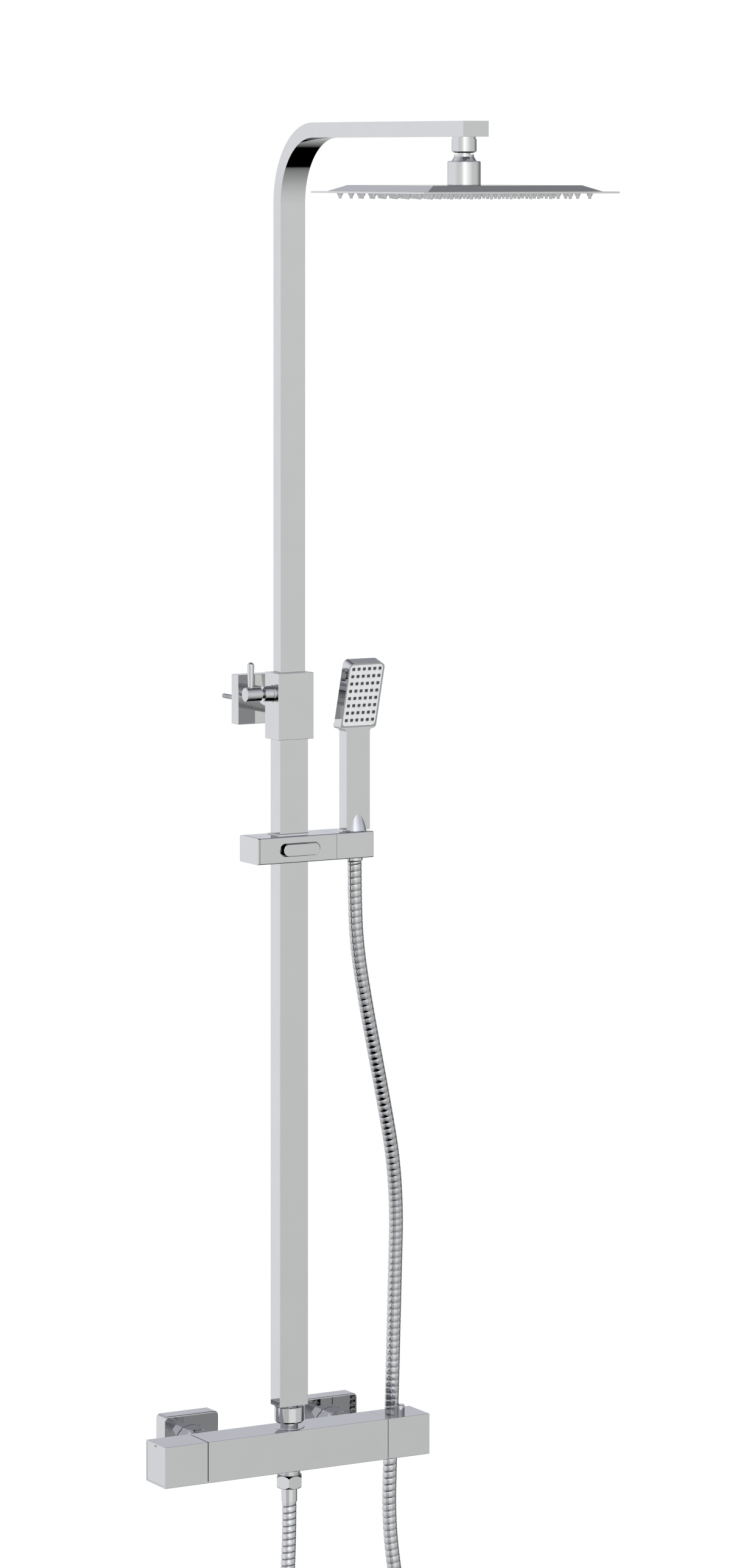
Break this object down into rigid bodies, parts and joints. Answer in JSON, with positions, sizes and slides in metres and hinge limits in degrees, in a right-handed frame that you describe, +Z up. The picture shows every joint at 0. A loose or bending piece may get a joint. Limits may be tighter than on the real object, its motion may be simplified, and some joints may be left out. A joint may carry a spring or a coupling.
{
  "type": "rainfall shower column",
  "caption": "Exposed thermostatic shower column: square bar mixer, telescopic riser with square overhead shower, sliding hand shower and hose",
  "frame": {"origin": "midway between the two wall inlets, on the wall plane", "axes": "+Z up along the riser, +X right along the mixer bar seen from the front, +Y into the wall, so the overhead arm runs towards -Y"},
  "size_m": [0.3024, 0.5229, 1.7064],
  "materials": {
    "chrome": "mirror polished chrome plate",
    "cast_brass": "machined brass, unplated inside",
    "steel": "plain stainless steel",
    "white_plastic": "moulded acetal",
    "pale_plastic": "pale grey moulded bush",
    "grey_face": "matt grey moulded face",
    "dark_rubber": "black rubber",
    "nozzle_silicone": "soft grey silicone",
    "hand_nozzle_silicone": "soft dark grey silicone",
    "hose_metal": "flexible ribbed metal hose, chrome"
  },
  "bodies": {
    "valve": {"valve_body": "chrome", "inlet_shrouds": "chrome", "inlet_unions": "cast_brass", "inlet_nuts": "chrome", "inlet_filters": "steel", "check_valves": "white_plastic", "flow_cartridge": "white_plastic", "temperature_cartridge": "white_plastic", "cartridge_retainers": "white_plastic", "riser_nut": "chrome", "riser_adaptor": "chrome", "hose_washer": "dark_rubber", "lower_pipe": "chrome", "hose_nipple": "chrome", "hose_nut": "chrome", "hose_ferrule": "chrome", "hose": "hose_metal", "collar_block": "chrome", "collar_bush": "pale_plastic", "wall_arm": "chrome", "wall_rose": "chrome", "wall_base": "steel", "wall_screws": "steel", "grub_screw": "steel", "clamp_bezel": "chrome"},
    "flow_control": {"flow_knob": "chrome", "flow_knob_cap": "chrome", "flow_spindle": "cast_brass", "flow_knob_screw": "steel"},
    "temperature_control": {"temperature_knob": "chrome", "temperature_knob_cap": "chrome", "temperature_spindle": "cast_brass", "temperature_knob_screw": "steel", "safety_spring": "steel"},
    "safety_stop": {"safety_button": "chrome"},
    "wax_thermostat": {"wax_element": "cast_brass"},
    "clamp_lever": {"lever_hub": "chrome", "lever_pin": "chrome"},
    "clamp_shoe": {"clamp_shoe": "white_plastic"},
    "riser": {"upper_pipe": "chrome", "pipe_foot": "white_plastic", "foot_seals": "dark_rubber", "swivel_stem": "chrome"},
    "swivel": {"stem_seal": "dark_rubber"},
    "ball_seat": {"ball_seat": "white_plastic"},
    "head": {"swivel_cup": "chrome", "head_cover": "chrome", "head_plate": "chrome", "head_nozzles": "nozzle_silicone"},
    "slider": {"slider_body": "chrome", "slider_end_cap": "chrome", "slider_bush": "pale_plastic", "release_spring": "steel"},
    "slider_release": {"release_button": "chrome"},
    "holder": {"handset_holder": "chrome", "holder_pivot": "white_plastic"},
    "hand_shower": {"handset_body": "chrome", "handset_faceplate": "grey_face", "handset_nozzles": "hand_nozzle_silicone", "hose_cone": "chrome"}
  },
  "joints": [
    {"name": "flow_turn", "type": "hinge", "parent": "valve", "child": "flow_control", "pos_m": [-0.119, -0.071, 0], "axis": [1, 0, 0], "range_deg": [-90, 90]},
    {"name": "temperature_turn", "type": "hinge", "parent": "valve", "child": "temperature_control", "pos_m": [0.119, -0.071, 0], "axis": [1, 0, 0], "range_deg": [-180, 60]},
    {"name": "wax_slide", "type": "slide", "parent": "valve", "child": "wax_thermostat", "axis": [1, 0, 0], "range_m": [-0.0009, 0.0003]},
    {"name": "safety_press", "type": "slide", "parent": "temperature_control", "child": "safety_stop", "axis": [0, 0, -1], "range_m": [0, 0.003], "stiffness_N_per_m": 900, "springref_m": -0.0012, "deforming": ["safety_spring"]},
    {"name": "lever_turn", "type": "hinge", "parent": "valve", "child": "clamp_lever", "pos_m": [-0.0435, -0.0755, 0.708], "axis": [1, 0, 0], "range_deg": [0, 90]},
    {"name": "clamp_press", "type": "slide", "parent": "valve", "child": "clamp_shoe", "axis": [-1, 0, 0], "range_m": [0, 0.0007]},
    {"name": "riser_slide", "type": "slide", "parent": "valve", "child": "riser", "axis": [0, 0, 1], "range_m": [-0.3, 0.03]},
    {"name": "head_turn", "type": "hinge", "parent": "riser", "child": "swivel", "pos_m": [0, -0.3931, 1.197], "axis": [0, 0, 1], "continuous": true},
    {"name": "head_tilt_side", "type": "hinge", "parent": "swivel", "child": "ball_seat", "pos_m": [0, -0.3931, 1.197], "axis": [0, 1, 0], "range_deg": [-6, 6]},
    {"name": "head_tilt_front", "type": "hinge", "parent": "ball_seat", "child": "head", "pos_m": [0, -0.3931, 1.197], "axis": [1, 0, 0], "range_deg": [-6, 6]},
    {"name": "slider_slide", "type": "slide", "parent": "valve", "child": "slider", "axis": [0, 0, 1], "range_m": [-0.3, 0.085], "deforming": ["hose"]},
    {"name": "release_press", "type": "slide", "parent": "slider", "child": "slider_release", "axis": [0, 1, 0], "range_m": [0, 0.003], "stiffness_N_per_m": 700, "springref_m": -0.001, "deforming": ["release_spring"]},
    {"name": "holder_tilt", "type": "hinge", "parent": "slider", "child": "holder", "pos_m": [0.0391, -0.074, 0.5627], "axis": [1, 0, 0], "range_deg": [-15, 20]},
    {"name": "hand_shower_lift", "type": "slide", "parent": "holder", "child": "hand_shower", "axis": [0, 0, 1], "range_m": [0, 0.045]}
  ],
  "couplings": [
    {"joint": "wax_slide", "follows": "temperature_turn", "m_per_rad": 0.000239},
    {"joint": "clamp_press", "follows": "lever_turn", "m_per_rad": 0.00038}
  ]
}
